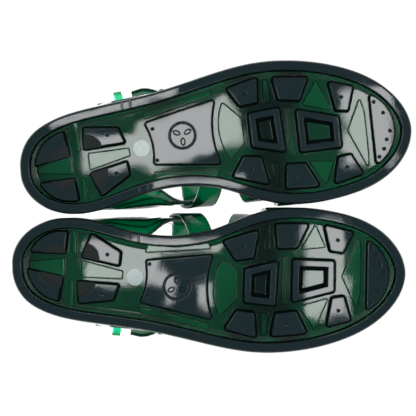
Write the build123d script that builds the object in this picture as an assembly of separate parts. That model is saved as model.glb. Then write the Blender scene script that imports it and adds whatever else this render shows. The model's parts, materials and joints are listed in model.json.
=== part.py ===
"""Pair of moulded see-through strap sandals: treaded cup soles, strap uppers and side buckles.

Each sandal is drawn once, as the right one, in its own frame: X runs from the back of the heel to the
toe, +Y is the inner (medial) side, -Y the outer (lateral) side, and Z is up from the ground.
The left sandal is its mirror image, and both are then set down side by side.
"""
from build123d import *
import math
import os

os.makedirs("parts", exist_ok=True)

# ---------------------------------------------------------------- driving dimensions (mm)
SOLE_LENGTH = 285.0
GROUND = 0.0
TREAD_DEPTH = 4.5          # from the ground up to the sunk floor of the tread
PLATE_RISE = 0.6           # shank and toe plates stand this far above the ground
PANEL_HEIGHT = 0.9         # low green panels stand this proud of the sunk floor
SEAT_HEIGHT = 12.0         # top of the sole's web, where the footbed lies
WALL_TOP = 22.0            # top of the cup wall round the foot
WALL_THICKNESS = 4.6
RIM_INSET = 7.0            # inner edge of the ground rim, measured in from the widest outline
BLOCK_SLOPE = 1.0          # how far a tread block's foot spreads and its ground end draws in
DIMPLE_RADIUS = 1.2
DIMPLE_DEPTH = 0.7
FOOTBED_TOP = 17.0
FOOTBED_GAP = 0.2
STICKER_RADIUS = 6.0
STICKER_THICKNESS = 0.2
STICKER_PLACE = (89.0, -5.5)

STRAP = 3.0                # strap thickness
OUTER_LAYER = STRAP + 0.35  # lift of a strap that lies on the arm
CROSSING_LIFT = STRAP + 0.9  # lift of the strap that passes over another

HEEL_SPACING = 71.4        # between the two heel centre lines
TOE_OUT = 3.5              # degrees, each sandal
RIGHT_LEAD = 9.0           # the right sandal stands this far ahead of the left

# Widest outline of the sole, from the back of the heel to the tip of the toe.
HEEL_BACK = (0.0, 1.3)
TOE_TIP = (SOLE_LENGTH, 0.5)
MEDIAL_EDGE = [(9.0, 25.0), (27.0, 35.2), (52.0, 36.4), (84.0, 28.6), (115.0, 25.2), (143.0, 29.6),
               (170.0, 40.6), (200.0, 46.9), (230.0, 45.0), (260.0, 35.6), (277.5, 20.5)]
LATERAL_EDGE = [(8.5, -21.5), (25.0, -31.9), (52.0, -38.2), (100.0, -44.3), (145.0, -53.8),
                (175.0, -58.4), (205.0, -57.2), (235.0, -50.2), (261.0, -37.4), (277.5, -21.0)]

# Side wall of the sole as (height, inset): rounded foot, moulded groove, rounded lip.
SIDE_PROFILE = [(0.0, 1.9), (0.5, 1.0), (1.5, 0.35), (3.2, 0.0), (9.0, 0.1), (9.6, 0.9), (10.6, 0.9),
                (11.2, 0.1), (20.6, 0.4), (21.5, 0.8), (WALL_TOP, 1.5)]

# Foot shape the straps lie on, as (x, value) tables read between by a smooth curve.
INNER_BREADTH = [(50, 34.2), (70, 34.9), (95, 35.4), (120, 35.4), (140, 36.6), (165, 39.6),
                 (185, 39.8), (205, 39.6), (225, 37.6)]
OUTER_BREADTH = [(50, -40.5), (70, -42.1), (104, -44.8), (125, -46.6), (150, -49.2), (180, -51.6),
                 (205, -51.4), (225, -48.4)]
BREADTH_HEIGHT = [(50, 46), (90, 46), (120, 43), (150, 39), (180, 36), (225, 33)]
INSTEP_HEIGHT = [(50, 130), (90, 112), (120, 96), (150, 79), (180, 66), (225, 50)]

# Heel counter: band round the heel on three posts, with an arm forward on the inner side.
COUNTER_INNER_TOP = [(0, 77), (12, 76), (35, 66), (60, 60), (90, 61), (126, 65)]
COUNTER_INNER_FOOT = [(0, 22), (95, 22), (101, 26), (112, 38), (126, 48)]
COUNTER_OUTER_TOP = [(0, 77), (12, 76), (35, 66), (58, 62), (70, 62)]
COUNTER_INNER_END = 126.0
COUNTER_OUTER_END = 70.0
HEEL_BULGE = 1.5
HEEL_LEAN = 0.0055
HEEL_WINDOW = (28.0, 17.0)     # width and height of the openings behind the side posts
HEEL_WINDOW_HEIGHT = 38.0

# Straight outer arm that carries the buckle.
ARM_START = (58.0, -41.3)
ARM_END = (104.0, -44.85)
ARM_FOOT = 46.0
ARM_HEIGHT = 16.0
PIN_RADIUS = 1.5
PIN_CLEARANCE = 0.05
KNUCKLE_RADIUS = 3.4
KNUCKLE_SLOT = 5.4             # gap between the two knuckles for the prong
BUCKLE_BAR = 3.0               # thickness of the buckle's bars
BUCKLE_REACH = 19.0            # from the pin to the middle of the front bar
BUCKLE_MARGIN = 0.4            # air between knuckle and buckle eye
KEEPER_WALL = 1.8
KEEPER_LENGTH = 6.0
KEEPER_START = 13.5            # from the start of the arm to the keeper's back edge
KEEPER_ROOM = 3.6              # room outside the arm for the strap's tail

# Ankle strap: middle of its thickness, from the inner side over the instep to the loose tail.
ANKLE_PATH = [(119.0, 36.9, 66.2), (120.5, 33.0, 80.0), (120.5, 18.5, 95.5), (118.0, -3.0, 102.0),
              (113.5, -24.0, 98.5), (107.5, -38.5, 88.5), (99.5, -46.8, 79.5), (90.5, -50.0, 76.0),
              (83.0, -50.4, 75.0)]
ANKLE_WIDTH = 15.0
ANKLE_HOLES = 5
ANKLE_HOLE_PITCH = 6.5
ANKLE_HOLE_RADIUS = 1.7
FOOT_AXIS = (-5.0, 50.0)       # y and z of the line that the ankle strap turns its inner face to

VAMP_WIDTH = 21.0
VAMP_UNDER = (211.0, 165.5)    # root of the lower strap on the outer and inner side
VAMP_OVER = (161.0, 196.5)     # root of the upper strap on the outer and inner side
INNER_STAY_WIDTH = 17.0
OUTER_STAY_WIDTH = 15.0


# ---------------------------------------------------------------- curves and the foot shape
def smooth(value, start, end):
    """Ease from 0 at start to 1 at end."""
    part = min(1.0, max(0.0, (value - start) / (end - start)))
    return part * part * (3.0 - 2.0 * part)


def read(table, x):
    """Value of a (x, value) table on a smooth curve, held constant past its ends."""
    last = len(table) - 1
    if x <= table[0][0]:
        return float(table[0][1])
    if x >= table[last][0]:
        return float(table[last][1])
    k = max(i for i in range(last) if table[i][0] <= x)
    slopes = []
    for i in (k, k + 1):
        before, after = table[max(i - 1, 0)], table[min(i + 1, last)]
        inside = 0 < i < last
        slopes.append((after[1] - before[1]) / (after[0] - before[0]) if inside else 0.0)
    width = table[k + 1][0] - table[k][0]
    t = (x - table[k][0]) / width
    return (table[k][1] * (1 + 2 * t) * (1 - t) ** 2 + table[k + 1][1] * t * t * (3 - 2 * t)
            + width * (slopes[0] * t * (1 - t) ** 2 - slopes[1] * t * t * (1 - t)))


SOLE_EDGE = Edge.make_spline([Vector(*spot) for spot in
                              [HEEL_BACK] + MEDIAL_EDGE + [TOE_TIP] + LATERAL_EDGE[::-1]], periodic=True)


def toe_part():
    """Part of the closed outline at which it reaches furthest forward."""
    low, high = 0.3, 0.7
    for _ in range(40):
        if SOLE_EDGE.tangent_at((low + high) / 2).X > 0:
            low = (low + high) / 2
        else:
            high = (low + high) / 2
    return low


TOE_PART = toe_part()


def rim_point(side, part, inset, z):
    """Point of one side's outline, from 0 at the heel to 1 at the toe, moved inward, at a height."""
    place = part * TOE_PART if side > 0 else 1 - part * (1 - TOE_PART)
    spot = SOLE_EDGE.position_at(place)
    along = SOLE_EDGE.tangent_at(place)
    return Vector(spot.X + along.Y * inset, spot.Y - along.X * inset, z)


def rim_part(side, x):
    """Part of one side's outline at which it reaches x."""
    low, high = 0.0, 1.0
    for _ in range(30):
        middle = (low + high) / 2
        if rim_point(side, middle, 0, 0).X < x:
            low = middle
        else:
            high = middle
    return low


def outline(inset, z, steps=24):
    """Closed outline of the sole, moved inward, at a height."""
    halves = []
    for side in (1, -1):
        points = [rim_point(side, i / steps, inset, z) for i in range(steps + 1)]
        halves.append(Edge.make_spline(points))
    return Wire(halves)


def stack(profile):
    """Solid through sole outlines given as (height, inset)."""
    return Solid.make_loft([outline(inset, z) for z, inset in profile], ruled=True)


def root_y(side, x):
    """Where the inner face of a strap stands on the cup wall."""
    return rim_point(side, rim_part(side, x), 0.0, 0.0).Y - side * 4.0


def breadth(side, x):
    return read(INNER_BREADTH if side > 0 else OUTER_BREADTH, x)


def side_y(side, x, z):
    """The foot's side at a length and height."""
    wide = read(BREADTH_HEIGHT, x)
    if z < wide:
        root = root_y(side, x)
        return root + (breadth(side, x) - root) * math.sin(math.pi / 2 * (z - WALL_TOP) / (wide - WALL_TOP))
    middle = (breadth(1, x) + breadth(-1, x)) / 2
    rise = min(1.0, (z - wide) / (read(INSTEP_HEIGHT, x) - wide))
    return middle + (breadth(side, x) - middle) * math.sqrt(1.0 - rise * rise)


def side_point(side, x, z, lift):
    """Point a lift off the foot's side."""
    step = 0.5
    slope_x = (side_y(side, x + step, z) - side_y(side, x - step, z)) / (2 * step)
    slope_z = (side_y(side, x, z + step) - side_y(side, x, max(WALL_TOP, z - step))) / (2 * step)
    away = Vector(-slope_x * side, side, -slope_z * side).normalized()
    return Vector(x, side_y(side, x, z), z) + away * lift


def over_point(x, turn, lift):
    """Point off the foot, where turn runs from -1 at the outer root over the top to 1 at the inner."""
    def surface(at_x, at_turn):
        side = 1 if at_turn > 0 else -1
        wide = read(BREADTH_HEIGHT, at_x)
        middle = (breadth(1, at_x) + breadth(-1, at_x)) / 2
        reach = abs(at_turn)
        if reach <= 0.7:
            angle = math.pi / 2 * (1 - reach / 0.7)
            y = middle + (breadth(side, at_x) - middle) * math.cos(angle)
            return Vector(at_x, y, wide + (read(INSTEP_HEIGHT, at_x) - wide) * math.sin(angle))
        rise = (1 - reach) / 0.3
        root = root_y(side, at_x)
        y = root + (breadth(side, at_x) - root) * math.sin(math.pi / 2 * rise)
        return Vector(at_x, y, WALL_TOP + (wide - WALL_TOP) * rise)

    if abs(turn) > 0.999:
        return surface(x, turn) + Vector(0, math.copysign(lift, turn), 0)
    along = surface(x + 0.5, turn) - surface(x - 0.5, turn)
    across = surface(x, min(1.0, turn + 0.01)) - surface(x, max(-1.0, turn - 0.01))
    return surface(x, turn) + along.cross(across).normalized() * lift


def ribbon(sections):
    """Solid strap through its four-cornered cross-sections."""
    return Solid.make_loft([Wire.make_polygon(corners, close=True) for corners in sections], ruled=True)


# ---------------------------------------------------------------- sole
def rounded(corners, radius=2.2):
    """Flat shape with rounded corners."""
    shape = Polygon(*corners, align=None)
    return fillet(shape.vertices(), radius)


def arced(points, radius=2.0):
    """Flat shape whose edges are straight, or an arc where three points are given."""
    edges = []
    for step in points:
        edges.append(Line(*step) if len(step) == 2 else ThreePointArc(*step))
    shape = make_face(Wire(edges))
    return fillet(shape.vertices(), radius)


def block(shape, top, slope=BLOCK_SLOPE):
    """Tread block hanging from the sole's web, wider at its foot than at its ground end."""
    web = Pos(0, 0, TREAD_DEPTH + 0.5) * offset(shape, amount=slope)
    end = Pos(0, 0, top) * offset(shape, amount=-slope)
    return loft([web, end], ruled=True)


def dimple(x, y, height=GROUND):
    """Shallow round hollow in a ground face."""
    ball = (DIMPLE_RADIUS ** 2 + DIMPLE_DEPTH ** 2) / (2 * DIMPLE_DEPTH)
    return Pos(x, y, height + DIMPLE_DEPTH - ball) * Sphere(ball)


def centre_of(corners):
    return sum(c[0] for c in corners) / len(corners), sum(c[1] for c in corners) / len(corners)


FOREFOOT_BLOCKS = [
    [(153.5, -42.0), (178.0, -48.2), (176.2, -29.0), (162.5, -27.6)],
    [(187.5, -47.0), (215.0, -44.3), (206.5, -27.2), (190.5, -29.5)],
    [(227.5, -39.8), (246.5, -34.4), (240.8, -16.0), (231.2, -17.6)],
    [(161.5, 7.6), (175.0, 9.6), (179.0, 31.2), (151.5, 22.4)],
    [(191.5, 16.6), (206.5, 17.4), (215.5, 36.2), (189.6, 35.4)],
    [(229.6, 15.6), (239.6, 14.2), (247.5, 30.2), (224.7, 35.6)],
]

FRAMES = [
    [(167.8, -22.5), (191.5, -24.8), (193.0, 8.8), (168.2, 2.4)],
    [(202.4, -22.2), (233.8, -13.6), (233.8, 9.4), (202.7, 10.0)],
]

PANELS = [
    [(181.2, -45.5), (184.6, -45.5), (186.2, -29.5), (180.2, -29.5)],
    [(219.6, -41.5), (229.6, -18.0), (207.8, -24.6)],
    [(181.6, 15.0), (187.2, 15.0), (186.0, 33.0), (182.4, 33.0)],
    [(208.6, 16.4), (227.0, 18.4), (219.2, 35.4)],
    [(195.4, -23.5), (199.2, -23.5), (199.2, 11.5), (195.4, 11.5)],
    [(238.7, -2.4), (250.0, -26.0), (252.5, -14.0), (252.5, 16.0), (251.5, 27.6)],
    [(50.0, -6.0), (80.0, -6.8), (80.5, -1.0), (50.0, 6.5)],
    [(12.5, 0.0), (38.0, -6.5), (38.0, 8.0), (12.5, 5.0)],
    [(41.5, -30.0), (45.0, -30.0), (45.0, -8.0), (41.5, -8.0)],
    [(43.0, 11.0), (46.5, 11.0), (46.5, 28.0), (43.0, 28.0)],
    [(93.0, -31.0), (143.0, -42.5), (143.0, -38.0), (93.0, -26.0)],
    [(96.0, 12.5), (144.0, 16.0), (142.0, 20.5), (118.0, 17.0), (98.0, 19.0)],
]

LENS_PANEL = [((150.5, -33.0), (146.0, -10.5), (152.4, 9.4)),
              ((152.4, 9.4), (163.6, -0.6)),
              ((163.6, -0.6), (163.6, -19.4)),
              ((163.6, -19.4), (150.5, -33.0))]

SHANK_PLATE = [((92.5, -23.5), (97.2, -8.5), (96.5, 7.4)),
               ((96.5, 7.4), (146.0, 12.4)),
               ((146.0, 12.4), (141.5, -12.0), (146.0, -35.5)),
               ((146.0, -35.5), (92.5, -23.5))]
EMBLEM_PLACE = (119.5, -11.5)
EMBLEM_RADIUS = 9.3
EMBLEM_GROOVE = 0.75

TOE_PLATE = [((256.5, -27.6), (256.5, 25.0)),
             ((256.5, 25.0), (273.0, -0.5), (256.5, -27.6))]
TOE_DIMPLES = [(259.5, -21.0), (265.5, -12.5), (269.0, 1.0), (266.0, 7.0), (263.5, 13.5), (259.5, 19.0)]

HEEL_BLOCKS = [
    ([((11.0, 0.0), (19.0, -16.3), (34.3, -23.6)), ((34.3, -23.6), (37.2, -5.2)),
      ((37.2, -5.2), (11.0, 0.0))], (34.5, 2.0), 15.2),
    ([((12.8, 11.8), (38.8, 11.0)), ((38.8, 11.0), (40.4, 27.4)),
      ((40.4, 27.4), (21.0, 22.6), (12.8, 11.8))], (30.5, 7.0), 10.5),
    ([((48.5, -25.2), (74.0, -22.4)), ((74.0, -22.4), (78.2, -10.4)), ((78.2, -10.4), (47.0, -8.6)),
      ((47.0, -8.6), (48.5, -25.2))], (49.0, -7.5), 12.0),
    ([((50.0, 8.6), (78.0, 2.4)), ((78.0, 2.4), (79.0, 13.0)), ((79.0, 13.0), (57.0, 26.6)),
      ((57.0, 26.6), (50.0, 8.6))], (52.0, 8.0), 11.0),
]
HEEL_DIMPLES = [(65.5, -17.5), (69.0, 10.8)]
RIM_JOINTS = [(-1, 78.0), (-1, 84.0), (1, 86.0), (1, 92.0)]


def emblem():
    """Plain ring with a three-leaf sprig, pressed into the shank plate."""
    ring = Torus(EMBLEM_RADIUS, EMBLEM_GROOVE)
    blade = make_face(Wire([ThreePointArc((1.0, 0), (4.6, 2.3), (8.2, 0)),
                            ThreePointArc((8.2, 0), (4.6, -2.3), (1.0, 0))]))
    mouth = Pos(0, 0, -1.0) * blade
    leaf = loft([mouth, Pos(0, 0, 0.9) * offset(blade, amount=-1.1)], ruled=True)
    place = Pos(EMBLEM_PLACE[0], EMBLEM_PLACE[1], PLATE_RISE)
    return [place * shape for shape in [ring] + [Rot(0, 0, 90 + 120 * k) * leaf for k in range(3)]]


def heel_block(edges, corner, reach):
    """Heel block with one corner stepped down round an arc."""
    solid = block(arced(edges, 1.6), GROUND)
    step = Pos(corner[0], corner[1], GROUND) * Cylinder(reach, 4.4)
    return solid - step + block(offset(arced(edges, 1.6), amount=-0.4), 2.2, 0.6)


def outsole():
    body = stack(SIDE_PROFILE)
    pit = stack([(-1.0, RIM_INSET - 0.3), (TREAD_DEPTH - 0.7, RIM_INSET + 1.0),
                 (TREAD_DEPTH, RIM_INSET + 4.5)])
    cup = stack([(SEAT_HEIGHT, WALL_THICKNESS + 0.6), (WALL_TOP + 1.0, WALL_THICKNESS)])
    joints = []
    for side, x in RIM_JOINTS:
        spot = rim_point(side, rim_part(side, x), 3.6, GROUND)
        joints.append(Pos(spot.X, spot.Y, 0) * Box(1.1, 6.5, 1.4))
    body = body - pit - cup - joints
    blocks = [block(rounded(corners), GROUND) for corners in FOREFOOT_BLOCKS]
    for corners in FRAMES:
        outer = rounded(corners)
        mouth = Pos(0, 0, -1.0) * offset(outer, amount=-4.4, kind=Kind.INTERSECTION)
        floor = Pos(0, 0, TREAD_DEPTH) * offset(outer, amount=-8.0, kind=Kind.INTERSECTION)
        blocks.append(block(outer, GROUND) - loft([mouth, floor], ruled=True))
    blocks += [block(rounded(corners, 1.0), TREAD_DEPTH - PANEL_HEIGHT, 0.35) for corners in PANELS]
    blocks.append(block(arced(LENS_PANEL, 1.5), TREAD_DEPTH - PANEL_HEIGHT, 0.35))
    blocks.append(block(arced(SHANK_PLATE), PLATE_RISE, 0.7))
    blocks.append(block(arced(TOE_PLATE, 2.0), PLATE_RISE, 0.7))
    blocks += [heel_block(*spec) for spec in HEEL_BLOCKS]
    for piece in blocks:
        body = body + piece
    dimples = [dimple(*centre_of(corners)) for corners in FOREFOOT_BLOCKS]
    dimples += [dimple(x, y) for x, y in HEEL_DIMPLES]
    dimples += [dimple(x, y, PLATE_RISE) for x, y in TOE_DIMPLES]
    dimples += [dimple(x, y, PLATE_RISE) for x, y in [(98.5, -18.5), (99.5, 4.5)]]
    return body - dimples - emblem()


def footbed():
    inset = WALL_THICKNESS + 0.6 + FOOTBED_GAP
    return stack([(SEAT_HEIGHT, inset), (FOOTBED_TOP - 1.2, inset - 0.2), (FOOTBED_TOP, inset + 1.2)])


def size_sticker():
    place = Pos(STICKER_PLACE[0], STICKER_PLACE[1], TREAD_DEPTH - STICKER_THICKNESS / 2)
    return place * Cylinder(STICKER_RADIUS, STICKER_THICKNESS)


# ---------------------------------------------------------------- heel counter and its arms
def counter_point(side, part, z, lift):
    """Point of the heel counter, which goes over from the round heel to the foot's side."""
    heel = rim_point(side, part, 4.0, z)
    out = (rim_point(side, part, 0.0, z) - heel).normalized()
    wide = read(BREADTH_HEIGHT, 50)
    if z < wide:
        swell = HEEL_BULGE * math.sin(math.pi / 2 * (z - WALL_TOP) / (wide - WALL_TOP))
    else:
        swell = HEEL_BULGE - HEEL_LEAN * (z - wide) ** 2
    round_heel = heel + out * (swell + lift)
    share = smooth(heel.X, 38.0, 68.0)
    if share == 0.0:
        return round_heel
    straight = side_point(side, heel.X, z, lift)
    return round_heel * (1 - share) + straight * share


def counter_section(side, x, foot, top):
    """Upright cross-section of the counter; its two end sections are flat."""
    part = rim_part(side, x)
    heights = [foot + (top - foot) * step / 5 for step in range(6)]
    outer = [counter_point(side, part, z, STRAP) for z in heights]
    inner = [counter_point(side, part, z, 0.0) for z in reversed(heights)]
    flat = x in (COUNTER_INNER_END, COUNTER_OUTER_END)
    return [Vector(x if flat else spot.X, spot.Y, max(WALL_TOP, spot.Z)) for spot in outer + inner]


def halved(places):
    """The places with one more between each two."""
    return [place for a, b in zip(places, places[1:]) for place in (a, (a + b) / 2)] + [places[-1]]


def heel_counter():
    sections = []
    inner_steps = [COUNTER_INNER_END, 120, 112, 105, 99, 94, 86, 78, 70, 62, 54, 46, 38, 30, 22, 15, 9, 4, 1]
    for x in halved(inner_steps):
        foot = max(WALL_TOP, read(COUNTER_INNER_FOOT, x))
        sections.append(counter_section(1, x, foot, read(COUNTER_INNER_TOP, x)))
    for x in halved([1, 4, 9, 15, 22, 30, 38, 46, 54, 62, COUNTER_OUTER_END]):
        sections.append(counter_section(-1, x, WALL_TOP, read(COUNTER_OUTER_TOP, x)))
    wall = Solid.make_loft([Wire.make_polygon(s, close=True) for s in sections], ruled=True)
    width, height = HEEL_WINDOW
    windows = []
    for side in (1, -1):
        face = Plane(origin=(26, 1.3, HEEL_WINDOW_HEIGHT), x_dir=(0.714, side * 0.7, 0),
                     z_dir=(-0.7, side * 0.714, 0))
        windows.append(extrude(face * RectangleRounded(width, height, 5.0), 60))
    return wall - windows + arm()


def arm_frame(along, out, up):
    """Point given along the straight arm, out from its inner face, and up from the ground."""
    start = Vector(ARM_START[0], ARM_START[1], 0)
    run = (Vector(ARM_END[0], ARM_END[1], 0) - start).normalized()
    away = Vector(run.Y, -run.X, 0)
    return start + run * along + away * out + Vector(0, 0, up)


ARM_LENGTH = math.dist(ARM_START, ARM_END)
ARM_ANGLE = math.degrees(math.atan2(ARM_END[1] - ARM_START[1], ARM_END[0] - ARM_START[0]))
ARM_MIDDLE = ARM_FOOT + ARM_HEIGHT / 2
PIN_SPOT = arm_frame(ARM_LENGTH + 3.0, STRAP / 2, 0)


def arm_box(along_from, along_to, out_from, out_to, low, high):
    """Box lined up with the straight arm."""
    middle = arm_frame((along_from + along_to) / 2, (out_from + out_to) / 2, (low + high) / 2)
    size = Box(along_to - along_from, out_to - out_from, high - low)
    return Pos(middle.X, middle.Y, middle.Z) * Rot(0, 0, ARM_ANGLE) * size


def upright(radius, low, high):
    """Upright cylinder on the pin's axis."""
    return Pos(PIN_SPOT.X, PIN_SPOT.Y, (low + high) / 2) * Cylinder(radius, high - low)


def arm():
    """Straight arm with two knuckles round the buckle's pin."""
    top = ARM_FOOT + ARM_HEIGHT
    bar = arm_box(0, ARM_LENGTH + 3.0, 0, STRAP, ARM_FOOT, top)
    slot = arm_box(ARM_LENGTH - 2.5, ARM_LENGTH + 8, -5, 8,
                   ARM_MIDDLE - KNUCKLE_SLOT / 2, ARM_MIDDLE + KNUCKLE_SLOT / 2)
    bore = upright(PIN_RADIUS + PIN_CLEARANCE, ARM_FOOT - 5, top + 5)
    return bar + upright(KNUCKLE_RADIUS, ARM_FOOT, top) - slot - bore


# ---------------------------------------------------------------- buckle and keeper
EYE_RADIUS = 3.2
EYE_HEIGHT = 3.0
BUCKLE_LOW = ARM_FOOT - BUCKLE_MARGIN - EYE_HEIGHT
BUCKLE_HIGH = ARM_FOOT + ARM_HEIGHT + BUCKLE_MARGIN + EYE_HEIGHT


def buckle_box(along_from, along_to, out_from, out_to, low, high):
    """Box measured along from the pin."""
    base = ARM_LENGTH + 3.0
    return arm_box(base + along_from, base + along_to, out_from, out_to, low, high)


def buckle_pin():
    return upright(PIN_RADIUS, BUCKLE_LOW - 0.8, BUCKLE_HIGH + 0.8)


def buckle_frame():
    """Open rectangle that swings on the pin by an eye at each end."""
    middle = STRAP / 2
    half = BUCKLE_BAR / 2
    reach = BUCKLE_REACH + half
    low_side = buckle_box(0, reach, middle - half, middle + half, BUCKLE_LOW, BUCKLE_LOW + EYE_HEIGHT)
    high_side = buckle_box(0, reach, middle - half, middle + half, BUCKLE_HIGH - EYE_HEIGHT, BUCKLE_HIGH)
    front = buckle_box(reach - BUCKLE_BAR, reach, middle - half, middle + half, BUCKLE_LOW, BUCKLE_HIGH)
    eyes = [upright(EYE_RADIUS, BUCKLE_LOW, BUCKLE_LOW + EYE_HEIGHT),
            upright(EYE_RADIUS, BUCKLE_HIGH - EYE_HEIGHT, BUCKLE_HIGH)]
    bore = upright(PIN_RADIUS + PIN_CLEARANCE, BUCKLE_LOW - 1, BUCKLE_HIGH + 1)
    body = low_side + high_side + front + eyes
    body = fillet(body.edges().filter_by(Axis.Z).group_by(Edge.length.fget)[-1], 1.0)
    return body - bore


def buckle_prong():
    """Tongue on the pin whose tip rests on the outside of the buckle's front bar."""
    half = KNUCKLE_SLOT / 2 - 0.4
    low, high = ARM_MIDDLE - half, ARM_MIDDLE + half
    middle = STRAP / 2
    outside = middle + BUCKLE_BAR / 2 + 0.3
    eye = upright(EYE_RADIUS, low, high)
    shank = buckle_box(1.0, BUCKLE_REACH + 2.2, outside, outside + 1.4, ARM_MIDDLE - 1.1, ARM_MIDDLE + 1.1)
    heel = buckle_box(0.0, 4.0, middle, outside + 1.4, ARM_MIDDLE - 1.1, ARM_MIDDLE + 1.1)
    bore = upright(PIN_RADIUS + PIN_CLEARANCE, low - 1, high + 1)
    return eye + shank + heel - bore


def strap_keeper():
    """Closed loop that slides on the arm and holds the strap's tail."""
    gap = 0.3
    wall = KEEPER_WALL
    low, high = ARM_FOOT - gap, ARM_FOOT + ARM_HEIGHT + gap
    inner, outer = -gap, STRAP + gap + KEEPER_ROOM
    start, end = KEEPER_START, KEEPER_START + KEEPER_LENGTH
    body = arm_box(start, end, inner - wall, outer + wall, low - wall, high + wall)
    body = fillet(body.edges().filter_by(Axis(origin=(0, 0, 0), direction=arm_direction())), 1.5)
    return body - arm_box(start - 1, end + 1, inner, outer, low, high)


def arm_direction():
    run = arm_frame(1, 0, 0) - arm_frame(0, 0, 0)
    return (run.X, run.Y, 0)


# ---------------------------------------------------------------- straps
def vamp_strap(roots, lift, steps=54):
    """Strap over the forefoot between its outer and inner root, lifted off the foot between them."""
    sections = []
    for i in range(steps + 1):
        turn = -1 + 2 * i / steps
        x = roots[0] + (roots[1] - roots[0]) * smooth(turn, -1.25, 1.25)
        rise = lift * smooth(1 - abs(turn), 0.0, 0.13)
        front, back = x + VAMP_WIDTH / 2, x - VAMP_WIDTH / 2
        sections.append([over_point(front, turn, rise + STRAP), over_point(back, turn, rise + STRAP),
                         over_point(back, turn, rise), over_point(front, turn, rise)])
    return ribbon(sections)


def stay(side, root_x, top_x, top, lift, width, steps=20):
    """Short strap from the cup wall up to the arm on one side."""
    sections = []
    for i in range(steps + 1):
        part = i / steps
        z = WALL_TOP + (top - WALL_TOP) * part
        x = root_x + (top_x - root_x) * smooth(part, -0.1, 1.0)
        rise = lift * smooth(part, 0.0, 0.6)
        front, back = x + width / 2, x - width / 2
        points = [side_point(side, front, z, rise + STRAP), side_point(side, back, z, rise + STRAP),
                  side_point(side, back, z, rise), side_point(side, front, z, rise)]
        if i == steps:
            points = [Vector(spot.X, spot.Y, top) for spot in points]
        if i == 0:
            points = [Vector(front, root_y(side, front) + side * STRAP, z),
                      Vector(back, root_y(side, back) + side * STRAP, z),
                      Vector(back, root_y(side, back), z), Vector(front, root_y(side, front), z)]
        sections.append(points)
    return ribbon(sections)


def inner_stay():
    return stay(1, 137.0, 119.0, 64.6, OUTER_LAYER, INNER_STAY_WIDTH)


def outer_stay():
    return stay(-1, 112.0, 92.0, ARM_FOOT, 0.0, OUTER_STAY_WIDTH)


ANKLE_LINE = Edge.make_spline([Vector(*p) for p in ANKLE_PATH])


def ankle_frame(part):
    """Middle, direction, outward and across directions of the ankle strap."""
    spot = ANKLE_LINE.position_at(part)
    along = ANKLE_LINE.tangent_at(part)
    away = Vector(0, spot.Y - FOOT_AXIS[0], spot.Z - FOOT_AXIS[1])
    away = (away - along * away.dot(along)).normalized()
    return spot, along, away, away.cross(along)


def ankle_strap(steps=48):
    sections = []
    for i in range(steps + 1):
        spot, _, away, across = ankle_frame(i / steps)
        tip = smooth(i / steps, 1.0, 0.93)
        half = ANKLE_WIDTH / 2 * (0.45 + 0.55 * tip)
        sections.append([spot + across * half + away * (STRAP / 2), spot - across * half + away * (STRAP / 2),
                         spot - across * half - away * (STRAP / 2), spot + across * half - away * (STRAP / 2)])
    strap = ribbon(sections)
    for i in range(ANKLE_HOLES):
        part = 1.0 - (14.0 + i * ANKLE_HOLE_PITCH) / ANKLE_LINE.length
        spot, _, away, _ = ankle_frame(part)
        strap = strap - Plane(origin=spot, z_dir=away) * Cylinder(ANKLE_HOLE_RADIUS, 3 * STRAP)
    return strap


# ---------------------------------------------------------------- the pair
PIECES = {
    "outsole": outsole, "footbed": footbed, "size_sticker": size_sticker, "heel_counter": heel_counter,
    "inner_stay": inner_stay, "outer_stay": outer_stay,
    "vamp_strap_under": lambda: vamp_strap(VAMP_UNDER, 0.0),
    "vamp_strap_over": lambda: vamp_strap(VAMP_OVER, CROSSING_LIFT),
    "ankle_strap": ankle_strap, "buckle_frame": buckle_frame, "buckle_prong": buckle_prong,
    "buckle_pin": buckle_pin, "strap_keeper": strap_keeper,
}


def right_place():
    return Pos(RIGHT_LEAD / 2, -HEEL_SPACING / 2, 0) * Rot(0, 0, -TOE_OUT)


def left_place():
    return Pos(-RIGHT_LEAD / 2, HEEL_SPACING / 2, 0) * Rot(0, 0, TOE_OUT)


def main():
    pair = {}
    for name, make in PIECES.items():
        piece = make()
        pair["right_" + name] = right_place() * piece
        pair["left_" + name] = left_place() * mirror(piece, about=Plane.XZ)
    box = Compound(children=[Compound(s.solids()) for s in pair.values()]).bounding_box()
    middle = box.center()
    print("shift to the origin:", round(-middle.X, 3), round(-middle.Y, 3))
    for name, shape in pair.items():
        export_step(Pos(-middle.X, -middle.Y, 0) * shape, f"parts/{name}.step")


if __name__ == "__main__":
    main()
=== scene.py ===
"""Pair of moulded see-through green strap sandals, seen from beneath against a white studio."""
import json
import math

import bmesh
import bpy
from mathutils import Matrix, Vector


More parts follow.
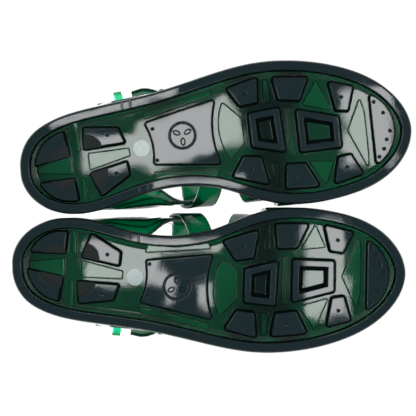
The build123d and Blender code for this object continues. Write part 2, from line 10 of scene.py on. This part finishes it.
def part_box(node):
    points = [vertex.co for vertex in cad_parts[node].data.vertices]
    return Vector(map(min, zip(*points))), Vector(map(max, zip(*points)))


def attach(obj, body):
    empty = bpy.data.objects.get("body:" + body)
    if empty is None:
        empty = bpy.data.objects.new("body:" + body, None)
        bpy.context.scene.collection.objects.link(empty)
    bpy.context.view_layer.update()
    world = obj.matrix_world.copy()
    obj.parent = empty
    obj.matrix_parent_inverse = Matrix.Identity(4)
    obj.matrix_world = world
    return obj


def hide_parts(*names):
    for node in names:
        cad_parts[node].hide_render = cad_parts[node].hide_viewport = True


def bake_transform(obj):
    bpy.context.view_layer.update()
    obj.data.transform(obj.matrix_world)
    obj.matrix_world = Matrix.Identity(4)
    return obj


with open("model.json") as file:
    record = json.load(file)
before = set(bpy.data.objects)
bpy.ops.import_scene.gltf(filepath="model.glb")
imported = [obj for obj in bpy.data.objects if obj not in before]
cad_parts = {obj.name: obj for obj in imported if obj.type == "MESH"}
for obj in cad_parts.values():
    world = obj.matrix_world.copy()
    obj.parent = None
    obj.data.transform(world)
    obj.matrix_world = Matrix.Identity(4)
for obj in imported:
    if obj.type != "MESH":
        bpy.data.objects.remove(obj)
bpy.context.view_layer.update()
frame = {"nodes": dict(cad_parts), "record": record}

MM = 0.001
SIDES = ("right", "left")

# Camera: straight up at the soles from far away, rolled a little.
VIEW_WIDTH = 300.4 * MM        # width of the ground plane that fills the picture
VIEW_LENS = 135.0
VIEW_SENSOR = 36.0
VIEW_ROLL = math.radians(2.58)
VIEW_CENTRE = Vector((-3.05, -1.24, 0.0)) * MM

# Heights in the sole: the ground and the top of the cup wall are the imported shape's own.
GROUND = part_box("right_outsole")[0].z
WALL_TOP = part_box("right_outsole")[1].z
SLATE_SPAN = 3.0 * MM          # ground faces are slate, and past two thirds of this height the recessed steps are painted near black, a painted shade
CLEAR_FROM = 2.6 * MM          # level faces turn see-through from here
CLEAR_FULL = 3.4 * MM          # and are fully so from here
BRIGHT_UNTIL = 3.4 * MM        # the low panels, just past this height, are bright green
DEEP_FROM = 4.6 * MM           # the sunk floor, just short of this height, is deep green
SLATE_UNTIL, SHADED_STEP_FROM = 0.56, 0.66    # parts of SLATE_SPAN

# Slopes in the sole, as the upright part of a face's normal.
LEVEL_FROM, LEVEL_FULL = 0.80, 0.95     # above these a face is lying, below them it is a wall
RAMP_UNTIL, FLAT_FROM = 0.976, 0.986    # the low ramps, and the quite level faces
RAMP_FROST = 0.40              # roughness the see-through ramps have on top
STEP_FROST = 0.4               # roughness the steps, painted black as shade, have on top

# Moulded pieces: the CAD nodes' meshes, welded, remeshed and rounded off.
WELD = 0.001 * MM
STRAP_VOXEL = 0.8              # in mm
FOOTBED_VOXEL = 1.0            # in mm
ROUNDING_STEPS = 6

# Ankle strap: its root end faces down and runs this far into the stay.
ROOT_FACING = -0.7             # upward part of the root end's normal is under this
ROOT_REACH = 10 * MM           # its faces lie within this distance of the root
ROOT_OVERLAP = 2 * MM

# Size numeral on the sticker: its stem and its top bar as opposite corners, and its heights, in mm.
NUMERAL_BARS = (((-1.9, 0.35), (1.9, 0.9)), ((1.25, -1.1), (1.9, 0.9)))
NUMERAL_SUNK = 0.02            # into the sticker
NUMERAL_PROUD = -0.05          # out of it

# Studio.
FLOOR_RADIUS = 20.0
FLOOR_CLEARANCE = 0.02 * MM    # the floor lies this far below the soles
HORIZON_GREY, GREY_COLOUR = 0.40, (0.16, 0.24, 0.25, 1.0)
HORIZON_WHITE, WHITE_COLOUR = 0.52, (1.0, 1.0, 1.0, 1.0)
WORLD_STRENGTH = 1.03
OVERHEAD_HEIGHT = 1.6
OVERHEAD_SIZE = (1.6, 1.6)
OVERHEAD_POWER = 12.0


# ---------------------------------------------------------------- materials
class Nodes:
    """Short way to add and link shader nodes."""

    def __init__(self, name):
        self.material = bpy.data.materials.new(name)
        self.material.use_nodes = True
        self.tree = self.material.node_tree
        self.tree.nodes.clear()
        self.output = self.tree.nodes.new("ShaderNodeOutputMaterial")

    def add(self, kind, **values):
        node = self.tree.nodes.new(kind)
        for key, value in values.items():
            if hasattr(node, key):
                setattr(node, key, value)
            else:
                node.inputs[key.replace("_", " ")].default_value = value
        return node

    def link(self, source, target):
        self.tree.links.new(source, target)

    def place(self):
        """Coordinates fixed to the pieces, in metres."""
        return self.add("ShaderNodeTexCoord").outputs["Object"]

    def noise(self, scale, detail):
        node = self.add("ShaderNodeTexNoise", Scale=scale, Detail=detail, Roughness=0.5)
        self.link(self.place(), node.inputs["Vector"])
        return node.outputs["Fac"]

    def ramp(self, source, stops):
        """Colour ramp through (place, colour) stops."""
        node = self.add("ShaderNodeValToRGB")
        points = node.color_ramp.elements
        while len(points) < len(stops):
            points.new(0.5)
        for point, (place, colour) in zip(points, stops):
            point.position = place
            point.color = (*colour, 1.0)
        self.link(source, node.inputs["Fac"])
        return node.outputs["Color"]

    def spread(self, source, low, high, to_low, to_high):
        """The source's values from low to high, laid out from to_low to to_high."""
        node = self.add("ShaderNodeMapRange")
        for name, value in (("From Min", low), ("From Max", high), ("To Min", to_low), ("To Max", to_high)):
            node.inputs[name].default_value = value
        self.link(source, node.inputs["Value"])
        return node.outputs["Result"]

    def mix(self, share, first, second):
        node = self.add("ShaderNodeMix", data_type="RGBA")
        self.link(share, node.inputs["Factor"])
        self.link(first, node.inputs[6])
        self.link(second, node.inputs[7])
        return node.outputs[2]

    def mix_value(self, share, first, second):
        node = self.add("ShaderNodeMix", data_type="FLOAT")
        self.link(share, node.inputs[0])
        self.link(first, node.inputs[2])
        self.link(second, node.inputs[3])
        return node.outputs[0]

    def bump(self, source, depth, strength, below=None):
        """Normal of a relief, laid over the normal below it."""
        node = self.add("ShaderNodeBump", Strength=strength, Distance=depth)
        self.link(source, node.inputs["Height"])
        if below is not None:
            self.link(below, node.inputs["Normal"])
        return node.outputs["Normal"]

    def shader(self, **values):
        """Surface shader of the material."""
        node = self.add("ShaderNodeBsdfPrincipled", **values)
        self.link(node.outputs["BSDF"], self.output.inputs["Surface"])
        return node

    def absorb(self, colour, density):
        """Tint that deepens with the thickness of the piece."""
        node = self.add("ShaderNodeVolumeAbsorption", Density=density)
        node.inputs["Color"].default_value = (*colour, 1.0)
        self.link(node.outputs["Volume"], self.output.inputs["Volume"])


def sole_rubber():
    """Bottle green rubber: clear where it is thin and level, glossy elsewhere, with dark grey-green tread
    faces and painted shade making the sides and the recessed steps near black.
    """
    nodes = Nodes("sole_rubber")
    shader = nodes.shader(Roughness=0.05, IOR=1.5)
    split = nodes.add("ShaderNodeSeparateXYZ")
    nodes.link(nodes.place(), split.inputs["Vector"])
    height = split.outputs["Z"]
    facing = nodes.add("ShaderNodeSeparateXYZ")
    nodes.link(nodes.add("ShaderNodeNewGeometry").outputs["True Normal"], facing.inputs["Vector"])
    level = nodes.add("ShaderNodeMath", operation="ABSOLUTE")
    nodes.link(facing.outputs["Z"], level.inputs[0])
    lying = nodes.spread(level.outputs["Value"], LEVEL_FROM, LEVEL_FULL, 0.0, 1.0)
    sunk = nodes.spread(height, CLEAR_FROM, CLEAR_FULL, 0.0, 1.0)
    clear = nodes.add("ShaderNodeMath", operation="MULTIPLY")
    nodes.link(lying, clear.inputs[0])
    nodes.link(sunk, clear.inputs[1])
    thin = clear.outputs["Value"]

    tread = nodes.spread(height, GROUND, SLATE_SPAN, 0.0, 1.0)
    # Lit slate for the ground faces; the recessed steps get a painted shade of near black.
    ground_slate, step_shade_black = (0.026, 0.046, 0.056), (0.002, 0.006, 0.007)
    slate_with_step_shade = nodes.ramp(tread, [(0.0, ground_slate), (SLATE_UNTIL, ground_slate), (SHADED_STEP_FROM, step_shade_black)])
    # Painted shade on the sides: near black above a lighter foot, turning green towards the top of the cup.
    foot, side, lip = (0.012, 0.022, 0.024), (0.001, 0.004, 0.004), (0.004, 0.040, 0.026)
    rise = nodes.spread(height, GROUND, WALL_TOP, 0.0, 1.0)
    shaded_wall = nodes.ramp(rise, [(0.0, foot), (0.12, side), (1.0, lip)])
    deep, bright = (0.002, 0.065, 0.048), (0.002, 0.20, 0.11)
    depth = nodes.spread(height, BRIGHT_UNTIL, DEEP_FROM, 0.0, 1.0)
    green = nodes.ramp(depth, [(0.3, bright), (0.7, deep)])
    flat = nodes.mix(lying, shaded_wall, slate_with_step_shade)
    nodes.link(nodes.mix(thin, flat, green), shader.inputs["Base Color"])
    nodes.link(thin, shader.inputs["Transmission Weight"])

    edges = nodes.add("ShaderNodeBevel", samples=4, Radius=0.9 * MM)
    waves = nodes.bump(nodes.noise(45.0, 1.0), 0.06 * MM, 1.0, edges.outputs["Normal"])
    grain = nodes.bump(nodes.noise(900.0, 4.0), 0.004 * MM, 1.0, waves)
    nodes.link(grain, shader.inputs["Normal"])
    worn = nodes.spread(nodes.noise(120.0, 4.0), 0.35, 0.7, 0.012, 0.035)
    stepped = nodes.ramp(tread, [(SLATE_UNTIL, (0.0, 0.0, 0.0)), (SHADED_STEP_FROM, (1.0, 1.0, 1.0))])
    dull = nodes.add("ShaderNodeMath", operation="MULTIPLY_ADD")
    dull.inputs[1].default_value = STEP_FROST
    nodes.link(stepped, dull.inputs[0])
    nodes.link(worn, dull.inputs[2])
    channel = nodes.add("ShaderNodeMath", operation="ADD")
    ramped = nodes.spread(level.outputs["Value"], RAMP_UNTIL, FLAT_FROM, RAMP_FROST, 0.0)
    nodes.link(ramped, channel.inputs[0])
    nodes.link(worn, channel.inputs[1])
    roughness = nodes.mix_value(thin, dull.outputs["Value"], channel.outputs["Value"])
    nodes.link(roughness, shader.inputs["Roughness"])
    return nodes.material


def strap_rubber(name, light, dark, absorbed):
    """Clear tinted rubber that darkens with its thickness, with soft moulded waves and fine grain."""
    nodes = Nodes(name)
    shader = nodes.shader(Roughness=0.1, IOR=1.5, Transmission_Weight=0.86)
    cloud = nodes.noise(40.0, 2.0)
    nodes.link(nodes.ramp(cloud, [(0.3, dark), (0.7, light)]), shader.inputs["Base Color"])
    waves = nodes.bump(nodes.noise(60.0, 1.0), 0.15 * MM, 0.6)
    grain = nodes.bump(nodes.noise(1200.0, 4.0), 0.01 * MM, 0.6, waves)
    nodes.link(grain, shader.inputs["Normal"])
    nodes.link(nodes.spread(nodes.noise(150.0, 4.0), 0.35, 0.7, 0.07, 0.2), shader.inputs["Roughness"])
    nodes.absorb(absorbed, 2000.0)
    return nodes.material


def footbed_rubber():
    """Satin green footbed."""
    nodes = Nodes("footbed_rubber")
    shader = nodes.shader(Roughness=0.35, IOR=1.5, Transmission_Weight=0.8)
    cloud = nodes.noise(30.0, 3.0)
    nodes.link(nodes.ramp(cloud, [(0.3, (0.015, 0.33, 0.17)), (0.7, (0.02, 0.42, 0.22))]),
               shader.inputs["Base Color"])
    grain = nodes.bump(nodes.noise(1500.0, 4.0), 0.08 * MM, 0.6)
    nodes.link(grain, shader.inputs["Normal"])
    nodes.link(nodes.spread(nodes.noise(200.0, 4.0), 0.3, 0.7, 0.28, 0.45), shader.inputs["Roughness"])
    return nodes.material


def prong_metal():
    """Satin steel with fine scratches."""
    nodes = Nodes("prong_metal")
    shader = nodes.shader(Metallic=1.0, Roughness=0.3)
    shader.inputs["Base Color"].default_value = (0.72, 0.70, 0.64, 1.0)
    scratches = nodes.noise(2500.0, 2.0)
    nodes.link(nodes.bump(scratches, 0.02 * MM, 0.5), shader.inputs["Normal"])
    nodes.link(nodes.spread(nodes.noise(400.0, 3.0), 0.3, 0.7, 0.22, 0.4), shader.inputs["Roughness"])
    return nodes.material


def sticker_film():
    """Frosted clear film."""
    nodes = Nodes("sticker_film")
    shader = nodes.shader(Roughness=0.1, IOR=1.5)
    nodes.link(nodes.ramp(nodes.noise(300.0, 3.0), [(0.3, (0.90, 0.92, 0.90)), (0.7, (0.95, 0.96, 0.94))]),
               shader.inputs["Base Color"])
    nodes.link(nodes.bump(nodes.noise(500.0, 2.0), 0.03 * MM, 0.4), shader.inputs["Normal"])
    return nodes.material


def numeral_ink():
    """Pale gold print."""
    nodes = Nodes("numeral_ink")
    shader = nodes.shader(Roughness=0.3, Metallic=0.6)
    nodes.link(nodes.ramp(nodes.noise(800.0, 3.0), [(0.3, (0.80, 0.62, 0.30)), (0.7, (0.92, 0.78, 0.46))]),
               shader.inputs["Base Color"])
    return nodes.material


SOLE = sole_rubber()
STRAP = strap_rubber("strap_rubber", light=(0.01, 0.44, 0.25), dark=(0.01, 0.36, 0.20),
                     absorbed=(0.0, 0.69, 0.61))
# Painted light: a paler, clearer copy of the strap rubber for the keeper and buckle frame, standing in for
# light glowing through them.
BUCKLE_GLOW = strap_rubber("buckle_plastic", light=(0.10, 0.80, 0.56), dark=(0.07, 0.66, 0.45),
                      absorbed=(0.75, 0.97, 0.94))
FOOTBED = footbed_rubber()
METAL = prong_metal()
FILM = sticker_film()
INK = numeral_ink()


# ---------------------------------------------------------------- pieces
def paint(piece, material):
    """Gives a piece one material."""
    piece.data.materials.clear()
    piece.data.materials.append(material)


def apply_modifiers(piece):
    """Makes the piece's modifiers part of its mesh."""
    depsgraph = bpy.context.evaluated_depsgraph_get()
    mesh = bpy.data.meshes.new_from_object(piece.evaluated_get(depsgraph))
    piece.modifiers.clear()
    piece.data = mesh


def mesh_of(node):
    """Welded copy of a CAD node's mesh, ready to be changed."""
    shape = bmesh.new()
    shape.from_mesh(frame["nodes"][node].data)
    bmesh.ops.remove_doubles(shape, verts=shape.verts, dist=WELD)
    return shape


def moulded(name, shapes, material, voxel=STRAP_VOXEL):
    """One rounded, welded piece made of the given shapes."""
    joined = bmesh.new()
    for shape in shapes:
        part = bpy.data.meshes.new(name + "_part")
        shape.to_mesh(part)
        shape.free()
        joined.from_mesh(part)
        bpy.data.meshes.remove(part)
    mesh = bpy.data.meshes.new(name)
    joined.to_mesh(mesh)
    joined.free()
    piece = bpy.data.objects.new(name, mesh)
    bpy.context.scene.collection.objects.link(piece)
    remesh = piece.modifiers.new("remesh", "REMESH")
    remesh.mode = "VOXEL"
    remesh.voxel_size = voxel * MM
    round_off = piece.modifiers.new("round", "SMOOTH")
    round_off.factor = 0.5
    round_off.iterations = ROUNDING_STEPS
    apply_modifiers(piece)
    for polygon in piece.data.polygons:
        polygon.use_smooth = True
    paint(piece, material)
    return piece


def reach_down(shape, place, length):
    """Lengthens the strap end that faces down at a place."""
    caps = [face for face in shape.faces
            if face.normal.z < ROOT_FACING and (face.calc_center_median() - place).length < ROOT_REACH]
    assert caps
    for vert in {vert for face in caps for vert in face.verts}:
        vert.co.z -= length


def ankle_strap(side):
    """The moulded stay and the strap above it, made one piece."""
    root = Vector(next(joint for joint in frame["record"]["behaviour"]["joints"]
                       if joint["name"] == side + "_ankle_strap_flex")["pos_m"])
    strap = mesh_of(side + "_ankle_strap")
    reach_down(strap, root, ROOT_OVERLAP)
    piece = moulded(side + "_ankle_strap_moulded", [mesh_of(side + "_inner_stay"), strap], STRAP)
    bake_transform(piece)
    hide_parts(side + "_inner_stay", side + "_ankle_strap")


def size_numeral(side):
    """Small gold figure seven printed on the sticker."""
    low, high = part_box(side + "_size_sticker")
    middle = (low + high) / 2
    mesh = bpy.data.meshes.new(side + "_size_numeral")
    shape = bmesh.new()
    for (x0, y0), (x1, y1) in NUMERAL_BARS:
        corners = [(x0, y0), (x1, y0), (x1, y1), (x0, y1)]
        rings = [[shape.verts.new((x * MM, y * MM, z * MM)) for x, y in corners]
                 for z in (NUMERAL_SUNK, NUMERAL_PROUD)]
        shape.faces.new(rings[0])
        shape.faces.new(reversed(rings[1]))
        for k in range(4):
            shape.faces.new((rings[0][k], rings[1][k], rings[1][(k + 1) % 4], rings[0][(k + 1) % 4]))
    bmesh.ops.recalc_face_normals(shape, faces=shape.faces)
    bmesh.ops.translate(shape, verts=shape.verts, vec=(middle.x, middle.y, low.z))
    shape.to_mesh(mesh)
    shape.free()
    piece = bpy.data.objects.new(side + "_size_numeral", mesh)
    bpy.context.scene.collection.objects.link(piece)
    paint(piece, INK)
    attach(piece, side + "_sandal")


def dress_cad(node, material):
    """Gives a CAD node that stays its material."""
    for slot in frame["nodes"][node].material_slots:
        slot.material = material


def build_sandal(side):
    """Dresses the CAD nodes that stay and makes the moulded pieces of one sandal."""
    body = side + "_sandal"
    dress_cad(side + "_outsole", SOLE)
    # The buckle frame and keeper take the paler copy of the strap rubber, painted light for the glow
    # through them.
    dress_cad(side + "_buckle_frame", BUCKLE_GLOW)
    dress_cad(side + "_strap_keeper", BUCKLE_GLOW)
    dress_cad(side + "_buckle_pin", METAL)
    dress_cad(side + "_buckle_prong", METAL)
    dress_cad(side + "_size_sticker", FILM)
    size_numeral(side)
    footbed = moulded(side + "_footbed_moulded", [mesh_of(side + "_footbed")], FOOTBED, FOOTBED_VOXEL)
    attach(footbed, body)
    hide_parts(side + "_footbed")
    for node in ("heel_counter", "outer_stay", "vamp_strap_under", "vamp_strap_over"):
        piece = moulded(f"{side}_{node}_moulded", [mesh_of(f"{side}_{node}")], STRAP)
        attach(piece, body)
        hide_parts(f"{side}_{node}")
    ankle_strap(side)


for side in SIDES:
    build_sandal(side)


# ---------------------------------------------------------------- camera, stage and light
def place_camera():
    """Camera below the soles, looking straight up."""
    data = bpy.data.cameras.new("camera")
    data.lens = VIEW_LENS
    data.sensor_width = VIEW_SENSOR
    data.clip_start, data.clip_end = 0.01, 100.0
    camera = bpy.data.objects.new("camera", data)
    bpy.context.scene.collection.objects.link(camera)
    right = Vector((math.cos(VIEW_ROLL), math.sin(VIEW_ROLL), 0.0))
    up = Vector((math.sin(VIEW_ROLL), -math.cos(VIEW_ROLL), 0.0))
    back = Vector((0.0, 0.0, -1.0))
    turn = Matrix((right, up, back)).transposed()
    camera.matrix_world = turn.to_4x4()
    camera.location = VIEW_CENTRE + back * (VIEW_WIDTH * VIEW_LENS / VIEW_SENSOR)
    bpy.context.scene.camera = camera
    return camera


def make_floor():
    """Pale floor, seen only from above."""
    mesh = bpy.data.meshes.new("studio_floor")
    shape = bmesh.new()
    bmesh.ops.create_circle(shape, cap_ends=True, segments=96, radius=FLOOR_RADIUS)
    shape.to_mesh(mesh)
    shape.free()
    floor = bpy.data.objects.new("studio_floor", mesh)
    bpy.context.scene.collection.objects.link(floor)
    floor.location.z = GROUND - FLOOR_CLEARANCE
    nodes = Nodes("studio_floor")
    paper = nodes.add("ShaderNodeBsdfDiffuse")
    paper.inputs["Color"].default_value = (0.86, 0.87, 0.87, 1.0)
    clear = nodes.add("ShaderNodeBsdfTransparent")
    mix = nodes.add("ShaderNodeMixShader")
    nodes.link(nodes.add("ShaderNodeNewGeometry").outputs["Backfacing"], mix.inputs["Fac"])
    nodes.link(paper.outputs["BSDF"], mix.inputs[1])
    nodes.link(clear.outputs["BSDF"], mix.inputs[2])
    nodes.link(mix.outputs["Shader"], nodes.output.inputs["Surface"])
    mesh.materials.append(nodes.material)
    floor.visible_shadow = False
    floor.visible_diffuse = False
    floor.visible_glossy = False


def light_panel(name, centre, size, energy, down=False):
    """Flat area light facing up at the soles, or down from overhead."""
    data = bpy.data.lights.new(name, "AREA")
    data.shape = "RECTANGLE"
    data.size, data.size_y = size
    data.energy = energy
    light = bpy.data.objects.new(name, data)
    bpy.context.scene.collection.objects.link(light)
    light.location = centre
    light.rotation_euler = (0.0, 0.0, 0.0) if down else (math.pi, 0.0, 0.0)
    light.visible_camera = False
    return light


def make_world():
    """White studio overhead that falls to grey below the horizon."""
    world = bpy.data.worlds.new("studio")
    bpy.context.scene.world = world
    world.use_nodes = True
    tree = world.node_tree
    background = tree.nodes["Background"]
    place = tree.nodes.new("ShaderNodeTexCoord")
    split = tree.nodes.new("ShaderNodeSeparateXYZ")
    ramp = tree.nodes.new("ShaderNodeValToRGB")
    shift = tree.nodes.new("ShaderNodeMapRange")
    shift.inputs["From Min"].default_value = -1.0
    tree.links.new(place.outputs["Generated"], split.inputs["Vector"])
    tree.links.new(split.outputs["Z"], shift.inputs["Value"])
    tree.links.new(shift.outputs["Result"], ramp.inputs["Fac"])
    tree.links.new(ramp.outputs["Color"], background.inputs["Color"])
    stops = ramp.color_ramp.elements
    stops[0].position, stops[0].color = HORIZON_GREY, GREY_COLOUR
    stops[1].position, stops[1].color = HORIZON_WHITE, WHITE_COLOUR
    background.inputs["Strength"].default_value = WORLD_STRENGTH


# Reflected panels of light on the soles: centre and size of the lit patch on the ground in mm,
# and its turn in degrees.
PATCHES = {
    "panel_right_heel": ((-66.0, -45.0), (54.0, 24.0), 0.0),
    "panel_right_shank": ((-13.0, -56.0), (72.0, 36.0), -15.0),
    "panel_right_toe": ((115.5, -55.0), (37.0, 56.0), 0.0),
    "panel_right_outer_rim": ((-68.0, -77.5), (92.0, 7.0), -14.0),
    "panel_right_waist": ((-9.0, -20.0), (64.0, 6.0), 0.0),
    "panel_left_heel": ((-66.0, 35.0), (56.0, 34.0), 0.0),
    "panel_left_slot": ((-17.0, 26.0), (44.0, 9.0), 0.0),
    "panel_left_ball": ((79.5, 46.0), (31.0, 70.0), 0.0),
    "panel_left_stripe_back": ((-34.5, 56.0), (7.0, 20.0), 0.0),
    "panel_left_stripe_front": ((-8.0, 61.0), (8.0, 18.0), 0.0),
}
PANEL_DROP = 1.5               # how far below the ground the panels hang
PANEL_GLOW = 9.0               # their brightness


def light_soles(camera):
    """Hangs a panel behind each patch, as large as the patch looks from the camera."""
    drop = -camera.location.z
    spread = (PANEL_DROP + drop) / drop
    for name, (centre, size, turn) in PATCHES.items():
        spot = Vector((centre[0], centre[1], 0.0)) * MM
        place = camera.location + (spot - camera.location) * spread
        place.z = -PANEL_DROP
        width, depth = size[0] * MM * spread, size[1] * MM * spread
        panel = light_panel(name, place, (width, depth), PANEL_GLOW * math.pi * width * depth)
        panel.rotation_euler.z = math.radians(turn)


camera = place_camera()
make_floor()
make_world()
light_soles(camera)
light_panel("overhead", (0.0, 0.0, OVERHEAD_HEIGHT), OVERHEAD_SIZE, OVERHEAD_POWER, down=True)
bpy.context.scene.view_settings.view_transform = "Standard"
